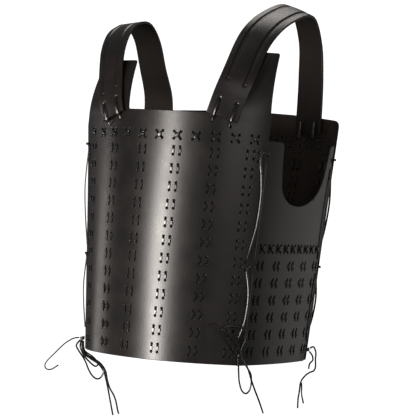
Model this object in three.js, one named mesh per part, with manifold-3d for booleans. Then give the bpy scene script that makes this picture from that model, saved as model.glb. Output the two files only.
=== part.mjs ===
// Leather lamellar cuirass: four stiff panels laced at the corners and hung from two shoulder straps.
// Millimetres, +Z up, front faces -Y, wearer's left is +X, origin on the shoulder line between the straps.
import * as THREE from 'three';
import { mergeVertices } from 'three/addons/utils/BufferGeometryUtils.js';
import Module from 'manifold-3d';

const wasm = await Module();
wasm.setup();

// Driving sizes
const leather = 3;             // panel thickness
const strapLeather = 4;        // two layers, glued
const strapWidth = 51;
const gap = 0.3;               // air left between pieces that touch
const topZ = -162;             // height where the section has its full size
const hemZ = -536;
const taper = 0.097;           // how much smaller the section is at the hem
const hemForward = 25.5;       // how far the hem stands forward of the chest
const tabBaseZ = -156.5;       // front top edge, between the shoulder tabs
const front = { radius: 223, centreY: -186.8, half: 173.5, narrow: 0.022 };
const back = {
  radius: 518.6, centreY: 128.5, half: 200.6, skewX: -15.8, topZ: -139, cornerZ: -150, round: 12,
};
const side = {
  width: 210, bulge: 9, frontLap: 6, rearLap: 0.8, inset: 4.2, rightReach: 0.995, patternShift: 8,
};
// Each tab narrows towards its top: its outer edge comes in and its neck edge goes out
const tabs = {
  left: { neck: 75, topZ: -58.5, leanEdge: 24, leanNeck: 50, narrowFrom: -160, edgeIn: 8, neckOut: 12 },
  right: { neck: 57, topZ: -79, leanEdge: 31, leanNeck: 28, narrowFrom: -185, edgeIn: 25, neckOut: 9 },
};
// The wearer's right corner of the front flares at the top and tucks in at the hem
const cornerFlare = { from: 110, top: 5, hem: -9.5 };

// Sizes of the lacing that imitates rows of small plates
// A stitch's lens starts inside the wall (sink), so about 0.6 of its length and width shows
const stitch = {
  length: 20, width: 6.4, rise: 1.6, sink: 1, pairHalf: 5.3, crossHalfWide: 7.8, crossHalfHigh: 7.8,
};
const frontLacing = {
  crosses: 11, crossPitch: 30, crossZ: -193.4, crossShift: 2.5,
  columns: 6, columnPitch: 60, firstZ: -217.1, rows: 12, rowPitch: 27.3, narrow: 0.048,
};
const backLacing = {
  crosses: 13, crossPitch: 30, crossZ: -187, crossShift: 0,
  columns: 7, columnPitch: 60, firstZ: -211, rows: 12, rowPitch: 27.3, narrow: 0.048,
};
const sideLacing = {
  crosses: 9, crossPitch: 21.2, crossZ: -358, crossShift: 0,
  columns: 5, columnPitch: 42.4, firstZ: -384.9, rows: 6, rowPitch: 26.4, narrow: 0,
};
// The front's columns were punched by eye: how far each one strays sideways at its top and at its foot
const frontStray = [[3, 0], [4.5, 0], [3.8, -7], [3.3, -6.2], [3, 1.5], [-2, 3]];

// Thongs are flat strips: broad ones tie the straps down, and the bows' free ends are the narrowest
const thong = { width: 3.6, strapWidth: 5.4, bowWidth: 2.8, thickness: 1.4 };

// Colours read from the photograph
const black = { color: 0x2a2624, roughness: 0.38, metalness: 0 };
const strapBlack = { color: 0x26221f, roughness: 0.42, metalness: 0 };
const thongBlack = { color: 0x1b1817, roughness: 0.35, metalness: 0 };

const group = new THREE.Group();
group.name = 'lamellar_cuirass';

function addNode(name, geometry, look) {
  const mesh = new THREE.Mesh(geometry, new THREE.MeshStandardMaterial(look));
  mesh.name = name;
  group.add(mesh);
}

const lerp = (a, b, t) => a + (b - a) * t;

// 0 at the chest, 1 at the hem
const drop = (z) => (topZ - z) / (topZ - hemZ);

// Shrinks a point of the full-size section towards the hem and leans it forward
function shape(x, y, z) {
  const t = drop(z);
  const k = 1 - taper * t;
  return new THREE.Vector3(x * k, y * k - hemForward * t, z);
}

// How far a shoulder tab has bent back at a point of it
function tabLean(s, z) {
  const tab = s > 0 ? tabs.left : tabs.right;
  const up = Math.max(0, (z - tabBaseZ) / (tab.topZ - tabBaseZ));
  const across = Math.min(1, Math.max(0, (front.half - Math.abs(s)) / (front.half - tab.neck)));
  return lerp(tab.leanEdge, tab.leanNeck, across) * up ** 1.7;
}

// How far a tab's narrowing moves a point of it sideways
function tabShift(s, z) {
  const tab = s > 0 ? tabs.left : tabs.right;
  const up = Math.max(0, (z - tab.narrowFrom) / (tab.topZ - tab.narrowFrom));
  const across = Math.max(0, (Math.abs(s) - tab.neck) / (front.half - tab.neck));
  return Math.sign(s) * up * lerp(tab.neckOut, -tab.edgeIn, across);
}

// Front panel: s runs round from the centre, out is the distance from the middle of the wall
function onFront(s, z, out) {
  const a = s / front.radius;
  const past = Math.max(0, -s - cornerFlare.from) / (front.half - cornerFlare.from);
  const w = lerp(cornerFlare.top, cornerFlare.hem, Math.max(0, drop(z))) * past ** 2;
  const r = front.radius + w;
  const p = shape(r * Math.sin(a), front.centreY + front.radius - r * Math.cos(a), z);
  p.add(new THREE.Vector3(Math.sin(a) * out, -Math.cos(a) * out + tabLean(s, z), 0));
  return p;
}

// Back panel: s runs from the centre towards the wearer's left
function onBack(s, z, out) {
  const a = s / back.radius;
  const p = shape(back.radius * Math.sin(a) + back.skewX, back.centreY - back.radius * (1 - Math.cos(a)), z);
  return p.add(new THREE.Vector3(Math.sin(a) * out, Math.cos(a) * out, 0));
}

// Side panel: s runs from its front edge to its rear edge, hand is +1 on the wearer's left, -1 on the right
function onSide(hand, s, z, out) {
  const a = onFront(hand * (front.half * (1 - front.narrow * drop(z)) - side.frontLap), z, -side.inset);
  a.y -= tabLean(hand * front.half, z);
  const b = onBack(hand * (back.half - side.rearLap), z, -side.inset);
  const reach = hand > 0 ? 1 : side.rightReach;
  const t = s / side.width;
  const along = b.clone().sub(a);
  const outward = new THREE.Vector3(along.y, -along.x, 0).normalize().multiplyScalar(hand);
  const p = a.clone().addScaledVector(along, t * reach);
  p.addScaledVector(outward, side.bulge * 4 * t * (1 - t));
  const slope = (side.bulge * 4 * (1 - 2 * t)) / along.length();
  const normal = outward.clone().addScaledVector(along.clone().normalize(), -slope).normalize();
  return p.addScaledVector(normal, out);
}

// Geometry from a list of points and the faces that share them
function solid(points, faces) {
  const g = new THREE.BufferGeometry();
  g.setAttribute('position', new THREE.Float32BufferAttribute(points.flatMap((p) => [p.x, p.y, p.z]), 3));
  g.setIndex(faces.flat());
  return g;
}

function flip(faces) {
  return faces.map(([a, b, c]) => [a, c, b]);
}

// Volume sign, so that every closed body can be turned to face out
function facingOut(points, faces) {
  let volume = 0;
  for (const [a, b, c] of faces) {
    volume += points[a].dot(new THREE.Vector3().crossVectors(points[b], points[c]));
  }
  return solid(points, volume > 0 ? faces : flip(faces));
}

// A wall of the panel's thickness: lines of [s, bottom, top], cut into rows by fractions of the height
function wall(lines, rows, place) {
  const points = [];
  const faces = [];
  const wide = lines.length;
  const high = rows.length;
  for (const out of [leather / 2, -leather / 2]) {
    for (const [s, bottom, top] of lines) {
      for (const f of rows) {
        points.push(place(s, lerp(bottom, top, f), out));
      }
    }
  }
  const at = (layer, i, j) => layer * wide * high + i * high + j;
  const quad = (a, b, c, d) => faces.push([a, b, c], [a, c, d]);
  for (let i = 0; i < wide - 1; i += 1) {
    for (let j = 0; j < high - 1; j += 1) {
      quad(at(0, i, j), at(0, i + 1, j), at(0, i + 1, j + 1), at(0, i, j + 1));
      quad(at(1, i, j), at(1, i, j + 1), at(1, i + 1, j + 1), at(1, i + 1, j));
    }
    quad(at(0, i + 1, 0), at(0, i, 0), at(1, i, 0), at(1, i + 1, 0));
    quad(at(0, i, high - 1), at(0, i + 1, high - 1), at(1, i + 1, high - 1), at(1, i, high - 1));
  }
  for (let j = 0; j < high - 1; j += 1) {
    quad(at(0, 0, j), at(0, 0, j + 1), at(1, 0, j + 1), at(1, 0, j));
    quad(at(0, wide - 1, j + 1), at(0, wide - 1, j), at(1, wide - 1, j), at(1, wide - 1, j + 1));
  }
  return facingOut(points, faces);
}

// One thong stitch standing on a panel's face, from one hole to the other, as a low lens-shaped bump
function bump(from, to, place) {
  const along = new THREE.Vector2(to[0] - from[0], to[1] - from[1]).normalize();
  const acrossS = (-along.y * stitch.width) / 2;
  const acrossZ = (along.x * stitch.width) / 2;
  const low = leather / 2 - stitch.sink;
  const middle = [(from[0] + to[0]) / 2, (from[1] + to[1]) / 2];
  const points = [
    place(from[0], from[1], low),
    place(middle[0] + acrossS, middle[1] + acrossZ, low),
    place(to[0], to[1], low),
    place(middle[0] - acrossS, middle[1] - acrossZ, low),
    place(middle[0], middle[1], leather / 2 + stitch.rise),
  ];
  return facingOut(points, [[0, 1, 2], [0, 2, 3], [0, 4, 1], [1, 4, 2], [2, 4, 3], [3, 4, 0]]);
}

// Every stitch of one panel; centre is the s of the middle of the pattern
function stitches(lacing, centre, place, stray = []) {
  const all = [];
  for (let i = 0; i < lacing.crosses; i += 1) {
    const s = centre + lacing.crossShift + (i - (lacing.crosses - 1) / 2) * lacing.crossPitch;
    for (const sign of [-1, 1]) {
      const wide = stitch.crossHalfWide * sign;
      const high = stitch.crossHalfHigh;
      all.push(bump([s - wide, lacing.crossZ - high], [s + wide, lacing.crossZ + high], place));
    }
  }
  for (let row = 0; row < lacing.rows; row += 1) {
    const z = lacing.firstZ - row * lacing.rowPitch;
    const squeeze = 1 - (lacing.narrow * row) / (lacing.rows - 1);
    for (let column = 0; column < lacing.columns; column += 1) {
      const [atTop, atFoot] = stray[column] ?? [0, 0];
      const off = lerp(atTop, atFoot, row / (lacing.rows - 1));
      const s = centre + off + (column - (lacing.columns - 1) / 2) * lacing.columnPitch * squeeze;
      for (const at of [s - stitch.pairHalf, s + stitch.pairHalf]) {
        all.push(bump([at, z - stitch.length / 2], [at, z + stitch.length / 2], place));
      }
    }
  }
  return all;
}

function toManifold(geometry) {
  const g = geometry.clone();
  g.deleteAttribute('normal');
  g.deleteAttribute('uv');
  const m = mergeVertices(g, 1e-4);
  return new wasm.Manifold(new wasm.Mesh({
    numProp: 3,
    vertProperties: new Float32Array(m.attributes.position.array),
    triVerts: new Uint32Array(m.index.array),
  }));
}

function fromManifold(body) {
  const mesh = body.getMesh();
  const g = new THREE.BufferGeometry();
  g.setAttribute('position', new THREE.BufferAttribute(new Float32Array(mesh.vertProperties), 3));
  g.setIndex(new THREE.BufferAttribute(new Uint32Array(mesh.triVerts), 1));
  return g;
}

function laced(panel, lacing, centre, place, stray) {
  const parts = [panel, ...stitches(lacing, centre, place, stray)].map(toManifold);
  return fromManifold(wasm.Manifold.union(parts));
}

// Evenly spaced values from a to b, both included
function span(a, b, steps) {
  return Array.from({ length: steps + 1 }, (_, i) => lerp(a, b, i / steps));
}

// Front panel with its two shoulder tabs. Its lines keep clear of the lacing columns, and step is the width
// of the cut at a tab's neck edge
const step = 0.5;
const tabRows = [0, 0.4, 0.79, 0.85, 0.9, 0.95, 1];
const frontLines = [
  ...[-front.half, -160, -140, -120, -100, -80, -tabs.right.neck].map((s) => [s, hemZ, tabs.right.topZ]),
  ...[-tabs.right.neck + step, -40, -20, 0, 20, 40, 60, tabs.left.neck - step]
    .map((s) => [s, hemZ, tabBaseZ]),
  ...[tabs.left.neck, 100, 120, 140, 160, front.half].map((s) => [s, hemZ, tabs.left.topZ]),
];
const placeFront = (s, z, out) => {
  const converge = Math.abs(s) < front.half ? frontLacing.narrow : front.narrow;
  return onFront(s * (1 - converge * Math.max(0, drop(z))) + tabShift(s, z), z, out);
};
const frontWall = wall(frontLines, tabRows, placeFront);
addNode('front_panel', laced(frontWall, frontLacing, 0, onFront, frontStray), black);

// Back panel, straight topped with rounded corners
const plainRows = span(0, 1, 2);
const backTop = (s) => {
  const short = Math.max(0, back.round - (back.half - Math.abs(s)));
  const rounded = back.round - Math.sqrt(back.round ** 2 - short ** 2);
  return lerp(back.topZ, back.cornerZ, (s / back.half) ** 2) - rounded;
};
const backHalfLines = [10, 30, 50, 70, 90, 110, 130, 150, 169, 188.6, 195.6, 199, back.half];
const backLines = [...backHalfLines.map((s) => -s).reverse(), ...backHalfLines]
  .map((s) => [s, hemZ, backTop(s)]);
const placeBack = (s, z, out) => {
  const converge = Math.abs(s) < back.half - back.round ? backLacing.narrow : 0;
  return onBack(s * (1 - converge * Math.max(0, drop(z))), z, out);
};
addNode('back_panel', laced(wall(backLines, plainRows, placeBack), backLacing, 0, onBack), black);

// Side panels: [distance from the front edge, height of the cut edge there]; the middle is the armhole
const sideCut = [
  [0, -199], [3, -195.5], [7, -194], [26, -194], [45, -194.5], [48.5, -196], [50, -200], [52.5, -232],
  [57.5, -264], [70, -280.5], [82, -287], [96, -290.5], [115, -291], [128, -289], [140, -285.5],
  [158, -277], [171, -266], [180, -253], [186, -235], [190.5, -212], [194, -196], [200, -192],
  [206, -190], [210, -191.5],
];
const sideHem = -537;
for (const [name, hand] of [['left', 1], ['right', -1]]) {
  const place = (s, z, out) => onSide(hand, s, z, out);
  const lines = sideCut.map(([s, top]) => [s, sideHem, top]);
  const body = wall(lines, plainRows, place);
  addNode(`side_panel_${name}`, laced(body, sideLacing, side.width / 2 + side.patternShift, place), black);
}

// Shoulder straps: [x, y, z, tilt in degrees] of the middle line, from the front end over to the rear end
const strapRoutes = {
  left: [
    [97.8, -170.4, -163, 20], [105.1, -162.6, -129.3, 28], [112.9, -153.2, -97.9, 31],
    [118, -112.8, -38.6, 27], [119.3, -37.2, 3.4, 20], [120.3, 50.6, 19.2, 20], [120.9, 90.5, -23.1, 21],
    [121.8, 99.9, -77.9, 17], [122.2, 101.8, -137.8, 15], [122, 100.6, -173, 15],
  ],
  right: [
    [-88, -173.4, -168.7, -24], [-97, -168, -142.4, -22], [-109, -152.6, -109, -20],
    [-119.2, -132.3, -64.6, -18], [-128.7, -97.8, -32.8, -15], [-137.1, -51.6, -16.1, -11],
    [-145.1, -6.5, -13.4, -1], [-150.5, 35.5, -33.5, 6], [-153.7, 67.1, -76.6, 4], [-154.3, 94.6, -123.1, -4],
    [-154.4, 99.6, -170.9, -13],
  ],
};
// Two long grooves are pressed into each strap; they stop short of the front end
const groove = {
  offset: 14, halfWidth: 2, depth: 1, closed: 0.02, startLeft: 59, startRight: 44, endIn: 40, run: 4,
};
const strapSteps = 26;
const strapBevel = 1;

// A strap as a curve with a frame at every length u: middle point, sideways and outward directions
function strapFrame(route) {
  const middle = route.map(([x, y, z]) => new THREE.Vector3(x, y, z));
  const curve = new THREE.CatmullRomCurve3(middle, false, 'centripetal');
  const tilts = new THREE.CatmullRomCurve3(route.map(([, , , d], i) => new THREE.Vector3(i, d, 0)));
  const length = curve.getLength();
  const at = (u, across, out) => {
    const f = Math.min(1, Math.max(0, u / length));
    const t = curve.getUtoTmapping(f);
    const p = curve.getPoint(t);
    const along = curve.getTangent(t);
    const level = new THREE.Vector3(1, 0, 0).addScaledVector(along, -along.x).normalize();
    const up = new THREE.Vector3().crossVectors(along, level);
    const tilt = THREE.MathUtils.degToRad(tilts.getPoint(t).y);
    const sideways = level.clone().multiplyScalar(Math.cos(tilt)).addScaledVector(up, Math.sin(tilt));
    const outward = new THREE.Vector3().crossVectors(sideways, along);
    p.addScaledVector(along, u - f * length);
    return p.addScaledVector(sideways, across).addScaledVector(outward, out);
  };
  return { length, at };
}

const straps = {};
for (const name of ['left', 'right']) {
  const frame = strapFrame(strapRoutes[name]);
  straps[name] = frame;
  const start = name === 'left' ? groove.startLeft : groove.startRight;
  const half = strapWidth / 2;
  const face = strapLeather / 2;
  const stations = [...span(0, frame.length, strapSteps), start - groove.run, start, start + groove.run,
    frame.length - groove.endIn, frame.length - groove.endIn - groove.run].sort((a, b) => a - b);
  const points = [];
  const faces = [];
  // The ring of points round the strap: ten over the face with its two grooves, then four under it
  const ring = 14;
  for (const u of stations) {
    const open = u >= start && u <= frame.length - groove.endIn - groove.run;
    const dip = open ? groove.depth : groove.closed;
    const section = [[-half, face - strapBevel], [-half + strapBevel, face]];
    for (const c of [-groove.offset, groove.offset]) {
      section.push([c - groove.halfWidth, face], [c, face - dip], [c + groove.halfWidth, face]);
    }
    section.push([half - strapBevel, face], [half, face - strapBevel]);
    section.push([half, -face + strapBevel], [half - strapBevel, -face]);
    section.push([-half + strapBevel, -face], [-half, -face + strapBevel]);
    for (const [x, out] of section) {
      points.push(frame.at(u, x, out));
    }
  }
  for (let i = 0; i < stations.length - 1; i += 1) {
    for (let j = 0; j < ring; j += 1) {
      const a = i * ring + j;
      const b = i * ring + ((j + 1) % ring);
      faces.push([a, b, b + ring], [a, b + ring, a + ring]);
    }
  }
  const last = (stations.length - 1) * ring;
  const cap = [
    [13, 0, 1], [13, 1, 12], [1, 2, 12], [2, 3, 12], [3, 4, 12], [4, 11, 12],
    [4, 5, 11], [5, 6, 11], [6, 7, 11], [7, 8, 11], [8, 10, 11], [8, 9, 10],
  ];
  for (const [a, b, c] of cap) {
    faces.push([a, c, b], [last + a, last + b, last + c]);
  }
  addNode(`strap_${name}`, facingOut(points, faces), strapBlack);
}

// A flat thong through points, its face turned towards the given directions
function ribbon(route, facing, steps, width) {
  const curve = new THREE.CatmullRomCurve3(route, false, 'centripetal');
  const turn = new THREE.CatmullRomCurve3(facing, false, 'centripetal');
  const points = [];
  const faces = [];
  for (let i = 0; i <= steps; i += 1) {
    const t = i / steps;
    const p = curve.getPoint(t);
    const along = curve.getTangent(t);
    const face = turn.getPoint(t);
    face.addScaledVector(along, -face.dot(along)).normalize();
    const across = new THREE.Vector3().crossVectors(along, face).multiplyScalar(width / 2);
    const rise = face.multiplyScalar(thong.thickness / 2);
    points.push(p.clone().add(across).add(rise), p.clone().sub(across).add(rise));
    points.push(p.clone().sub(across).sub(rise), p.clone().add(across).sub(rise));
  }
  for (let i = 0; i < steps; i += 1) {
    for (let j = 0; j < 4; j += 1) {
      const a = i * 4 + j;
      const b = i * 4 + ((j + 1) % 4);
      faces.push([a, b, b + 4], [a, b + 4, a + 4]);
    }
  }
  const last = steps * 4;
  faces.push([0, 2, 1], [0, 3, 2], [last, last + 1, last + 2], [last, last + 2, last + 3]);
  return facingOut(points, faces);
}

// Thongs that tie each strap down: two over its front end and two at its rear end
const tie = { across: 14, up: 25, below: 9, rearUp: 20 };
for (const name of ['left', 'right']) {
  const frame = straps[name];
  const lie = strapLeather / 2 + gap + thong.thickness / 2 + 0.15;
  for (const [where, across] of [['inner', name === 'left' ? -tie.across : tie.across],
    ['outer', name === 'left' ? tie.across : -tie.across]]) {
    const frontRoute = [
      [tie.up, lie], [tie.up / 2, lie], [3, lie + 0.3], [-1.9, lie - 0.3], [-4.6, 0.6], [-tie.below, -1.6],
    ];
    const points = frontRoute.map(([u, out]) => frame.at(u, across, out));
    const facing = frontRoute.map(([u]) => frame.at(u, across, 1).sub(frame.at(u, across, 0)));
    addNode(`strap_thong_${name}_${where}`, ribbon(points, facing, 9, thong.strapWidth), thongBlack);
    const rearLie = -lie - 0.4;
    const rearRoute = [[-tie.rearUp, rearLie], [-tie.rearUp / 2, rearLie], [-1, rearLie], [6, rearLie - 0.2]];
    const rearPoints = rearRoute.map(([u, out]) => frame.at(frame.length + u, across, out));
    const rearFacing = rearRoute.map(([u]) => frame.at(frame.length + u, across, -1)
      .sub(frame.at(frame.length + u, across, 0)));
    addNode(`rear_thong_${name}_${where}`, ribbon(rearPoints, rearFacing, 4, thong.width), thongBlack);
  }
}

// Seam thongs. Each corner has three tie points; rows are [panel, distance in from its edge, height, out].
// An edge row lies past the edge of the front or back panel, and at a bend row the thong turns round it
const tieZ = [-213, -382, -511];
const lieOut = leather / 2 + gap + thong.thickness / 2 + 0.15;
const crossAndRun = (top, bottom) => [
  ['side', 9.4, top - 1, lieOut], ['bend', 5.4, top, lieOut + 1.3], ['edge', 3.9, top, 0.4],
  ['main', 0.5, top, lieOut + 1.2], ['main', 6, top, lieOut + 0.7], ['main', 8.5, top - 6, lieOut + 0.4],
  ['main', 5, lerp(top, bottom, 0.2), lieOut + 1.6], ['main', 2, lerp(top, bottom, 0.4), lieOut + 3.2],
  ['main', 3, lerp(top, bottom, 0.65), lieOut + 2.4], ['main', 10, bottom + 9, lieOut],
];
const sideRun = (top, bottom) => [
  ['side', 9, top - 15, lieOut], ['side', 8.6, lerp(top, bottom, 0.25), lieOut + 0.8],
  ['side', 8.4, lerp(top, bottom, 0.5), lieOut + 1.4], ['side', 8.6, lerp(top, bottom, 0.75), lieOut + 0.8],
  ['side', 9, bottom + 8, lieOut],
];
const corners = [
  { name: 'front_left', main: onFront, hand: 1, edge: front.half, narrow: front.narrow, rear: false },
  { name: 'front_right', main: onFront, hand: -1, edge: front.half, narrow: front.narrow, rear: false },
  { name: 'back_left', main: onBack, hand: 1, edge: back.half, narrow: 0, rear: true },
  { name: 'back_right', main: onBack, hand: -1, edge: back.half, narrow: 0, rear: true },
];
// On the side panels the rear thongs lie closer to the edge than the front ones
const rearNear = 0.4;
function cornerPoint(corner, [panel, inward, z, out]) {
  if (panel === 'main' || panel === 'edge') {
    const past = panel === 'edge' ? -inward : inward;
    return corner.main(corner.hand * (corner.edge * (1 - corner.narrow * drop(z)) - past), z, out);
  }
  return onSide(corner.hand, corner.rear ? side.width - inward * rearNear : inward, z, out);
}
// The direction away from the leather at a row: past an edge row's edge, and otherwise out of the wall, which
// a bend row turns half way towards the direction away from the corner's edge
function cornerFacing(corner, row) {
  const [panel, inward, z, out] = row;
  const here = cornerPoint(corner, row);
  const lifted = panel === 'edge' ? [panel, inward + 1, z, out] : [panel, inward, z, out + 1];
  const away = cornerPoint(corner, lifted).sub(here);
  if (panel === 'bend') {
    away.add(here.sub(cornerPoint(corner, ['edge', 0, z, 0])).normalize());
  }
  return away;
}
for (const corner of corners) {
  const lay = (rows, steps) => {
    const points = rows.map((row) => cornerPoint(corner, row));
    const facing = rows.map((row) => cornerFacing(corner, row));
    return ribbon(points, facing, steps, thong.width);
  };
  addNode(`seam_thong_${corner.name}_upper`, lay(crossAndRun(tieZ[0], tieZ[1]), 16), thongBlack);
  addNode(`seam_thong_${corner.name}_lower`, lay(crossAndRun(tieZ[1] - 4, tieZ[2]), 16), thongBlack);
  addNode(`side_thong_${corner.name}_upper`, lay(sideRun(tieZ[0], tieZ[1]), 6), thongBlack);
  addNode(`side_thong_${corner.name}_lower`, lay(sideRun(tieZ[1], tieZ[2]), 6), thongBlack);
}

// Bows at the hem. Rows are [across, up, out] from the knot, in a plane turned by faceAngle from the front
const faceAngle = THREE.MathUtils.degToRad(26.35);
const knot = { radius: 4.3, reach: 4.95, z: -519.5, inward: 5, out: 6.1 };
// The wearer's right rear bow is cut short, so that nothing of it hangs far below the hem
const shortBow = 0.4;
const bows = {
  front_right: {
    tail_curl: [[-5.4, 0.5, 0], [-12.8, -1, 1], [-19.9, -4.9, 2], [-27.6, -10.8, 3], [-42.7, -27.4, 4],
      [-53.9, -40.6, 4], [-56, -46.5, 4], [-54.4, -51.1, 4], [-49.1, -52.8, 4], [-44.3, -51.4, 4],
      [-34.8, -44.6, 4]],
    loop_long: [[-4.2, -3.8, 3], [-8.6, -11.9, 4.6], [-6.3, -17, 5], [6, -34, 5], [13.6, -49.3, 5],
      [18.8, -57, 5],
      [24, -61.4, 5], [29, -62.3, 5], [33.5, -59.2, 5], [37, -50, 5], [34.2, -42.2, 5], [22.3, -34.2, 5.6],
      [4.9, -25, 7.4], [-2, -14.1, 7.4], [-1.8, -4.4, 4.6]],
    loop_short: [[-2.6, -5.4, -2], [-2.6, -14, -2.2], [5, -29, -2.4], [14.4, -38, -2.4], [21.2, -43, -2.4],
      [24.6, -43.4, -2.6], [27, -39, -3.4], [18, -29, -4.8], [6, -21.5, -4.8], [0.2, -14, -4.4],
      [-0.8, -5, -5]],
    tail_a: [[-0.2, -5.9, 0], [0.6, -14, 0], [6, -25, 0], [16, -32.5, 0], [28, -39.6, 0],
      [37.1, -50.9, 0], [41, -62, 0],
      [44.2, -73.1, 0], [49.8, -95.3, 0], [54, -111.7, 0], [55.7, -118.4, 0]],
    tail_b: [[2.4, -5.3, 1.8], [2.8, -13, 3.4], [7, -24, 2.8], [19, -31, 2.4], [31, -38, 2.4], [40, -50, 2.4],
      [43.4, -63, 2.4], [48.4, -76.2, 2.4], [55.1, -86.6, 2.4], [58.7, -94.6, 2.4], [62.9, -110.1, 2.4],
      [64.8, -115.6, 2.4]],
  },
  front_left: {
    loop_up: [[-0.4, 5.2, 1.6], [-2.6, 14, 4], [-9, 22, 7], [-18.5, 28.5, 9], [-27.2, 34.6, 11],
      [-28, 39.4, 11.5],
      [-22.5, 42.4, 10.5], [-13.1, 44.1, 9], [-2.7, 42.8, 7], [5.4, 38.6, 5.5], [8.7, 32, 4.5],
      [7.9, 22.6, 3.4],
      [4, 13, 2], [2.8, 5, 1]],
    tail_side: [[-5.4, 2.6, 3.2], [-14, 16, 8.5], [-23, 26, 13.5], [-31.5, 36.5, 17.5], [-36, 44.6, 19],
      [-42, 47.2, 20.5], [-51.4, 44.3, 23]],
    loop_down: [[-1.4, -5, 0], [0.4, -26.6, 0], [2.5, -41.4, 0], [7.9, -54.5, 0], [13.4, -57.2, 0],
      [18.2, -52.4, 0],
      [20.2, -37.3, 0], [18.6, -27, 0], [12, -17, 0], [3.4, -4.6, 0]],
    tail_long: [[3.4, -3.4, 3], [12.9, -17.3, 3.4], [20.1, -35.9, 3.4], [25.5, -48.9, 2], [34.1, -67.8, 1],
      [41.3, -85.3, 0]],
  },
  back: {
    band: [[4.4, 2.6, 0.4], [9.2, 5.2, 1], [13.6, -2.6, 2], [13.8, -15.1, 3], [14.6, -27.2, 3],
      [12.4, -33, 3], [6.5, -36, 3],
      [0.7, -40.2, 3], [-5.7, -48.5, 3], [-8, -55.6, 3], [-8.6, -66.1, 3], [-9.9, -79.4, 3],
      [-9.8, -94.8, 3]],
    loop: [[4.2, -3.4, -2], [9.2, -10.5, -1.5], [9.6, -17, -1], [5.2, -22.5, 0], [4, -31, 0]],
    tail_side: [[-6, -53.6, 0.6], [-5.2, -62, 0.6], [-4.6, -72, 0.6], [-0.7, -86.8, 0.6]],
  },
};
// A row that ends at the knot is drawn in until it lies against the ball
function againstKnot(row) {
  const away = Math.hypot(...row);
  return away < 2 * knot.radius ? row.map((v) => (v * knot.reach) / away) : row;
}
for (const corner of corners) {
  const name = corner.name;
  const mirror = name === 'back_right' ? -1 : 1;
  const centre = cornerPoint(corner, ['main', knot.inward, knot.z, knot.out]);
  const across = new THREE.Vector3(Math.cos(faceAngle) * mirror, Math.sin(faceAngle), 0);
  const outward = new THREE.Vector3(Math.sin(faceAngle) * mirror, -Math.cos(faceAngle), 0);
  const ball = new THREE.IcosahedronGeometry(knot.radius, 1);
  ball.deleteAttribute('normal');
  ball.deleteAttribute('uv');
  ball.translate(centre.x, centre.y, centre.z);
  addNode(`knot_${name}`, mergeVertices(ball, 1e-3), thongBlack);
  const bow = corner.rear ? bows.back : bows[name];
  for (const [part, rows] of Object.entries(bow)) {
    const hang = name === 'back_right' ? shortBow : 1;
    const tied = rows.map(([a, up, out]) => againstKnot([a, up * hang, out]));
    const points = tied.map(([a, up, out]) => centre.clone().addScaledVector(across, a)
      .addScaledVector(outward, out).add(new THREE.Vector3(0, 0, up)));
    const facing = rows.map(() => outward.clone());
    const steps = Math.max(6, Math.round(rows.length * 1.35));
    addNode(`${part}_${name}`, ribbon(points, facing, steps, thong.bowWidth), thongBlack);
  }
}

export default group;
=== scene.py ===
"""Leather lamellar cuirass: four stiff panels laced at the corners and hung from two shoulder straps."""
from functools import partial
import math

import bmesh
import bpy
import numpy as np
from mathutils import Matrix, Vector, geometry


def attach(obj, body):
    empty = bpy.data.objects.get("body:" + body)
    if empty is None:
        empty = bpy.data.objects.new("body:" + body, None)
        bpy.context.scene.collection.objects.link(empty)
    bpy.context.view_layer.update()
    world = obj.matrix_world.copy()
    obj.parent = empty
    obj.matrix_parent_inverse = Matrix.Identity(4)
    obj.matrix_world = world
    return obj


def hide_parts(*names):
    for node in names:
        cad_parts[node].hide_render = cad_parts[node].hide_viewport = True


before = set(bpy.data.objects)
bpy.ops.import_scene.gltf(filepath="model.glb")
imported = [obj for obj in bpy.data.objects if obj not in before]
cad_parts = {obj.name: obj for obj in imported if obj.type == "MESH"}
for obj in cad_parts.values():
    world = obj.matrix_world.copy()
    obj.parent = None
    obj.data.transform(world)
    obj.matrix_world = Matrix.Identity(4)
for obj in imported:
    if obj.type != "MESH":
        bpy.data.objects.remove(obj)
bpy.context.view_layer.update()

scene = bpy.context.scene
mm = 0.001


# Camera: it looks at the front from the wearer's left side, level, and tilted a few degrees, as the
# photograph does. Its shift frames the armour a little above the middle of the picture.
camera_azimuth = math.radians(26.352)
camera_elevation = math.radians(-0.267)
camera_roll = math.radians(3.676)
camera_distance = 2989.165 * mm
camera_target = Vector((0, 0, -255 * mm))
sensor_mm = 36
lens_mm = 160.36
principal_shift = (-0.00524, -0.07166)

backward = Vector((
    math.sin(camera_azimuth) * math.cos(camera_elevation),
    -math.cos(camera_azimuth) * math.cos(camera_elevation),
    math.sin(camera_elevation),
))
level_right = Vector((math.cos(camera_azimuth), math.sin(camera_azimuth), 0))
level_up = backward.cross(level_right)
picture_right = level_right * math.cos(camera_roll) + level_up * math.sin(camera_roll)
picture_up = level_up * math.cos(camera_roll) - level_right * math.sin(camera_roll)
camera_data = bpy.data.cameras.new("photo_camera")
camera_data.sensor_width = sensor_mm
camera_data.lens = lens_mm
camera_data.shift_x, camera_data.shift_y = principal_shift
camera = bpy.data.objects.new("photo_camera", camera_data)
turned = Matrix((picture_right, picture_up, backward)).transposed().to_4x4()
camera.matrix_world = Matrix.Translation(camera_target + backward * camera_distance) @ turned
scene.collection.objects.link(camera)
scene.camera = camera


# Panel leather: 3 mm vegetable-tanned cowhide, dyed black and polished on its grain side. The polish gives
# broad satin highlights; the flesh side inside is brown-black and matt, and the cut edges are burnished.
grain_black = "#14110f"
grain_worn = "#1e1a18"
flesh_brown = "#241a14"
edge_brown = "#3a3028"
grain_cell_mm = 1.3      # real grain is about 0.6 mm; drawn coarser so that it shows
pore_mm = 2.6
mottle_mm = 38
fibre_mm = 1.8


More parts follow.
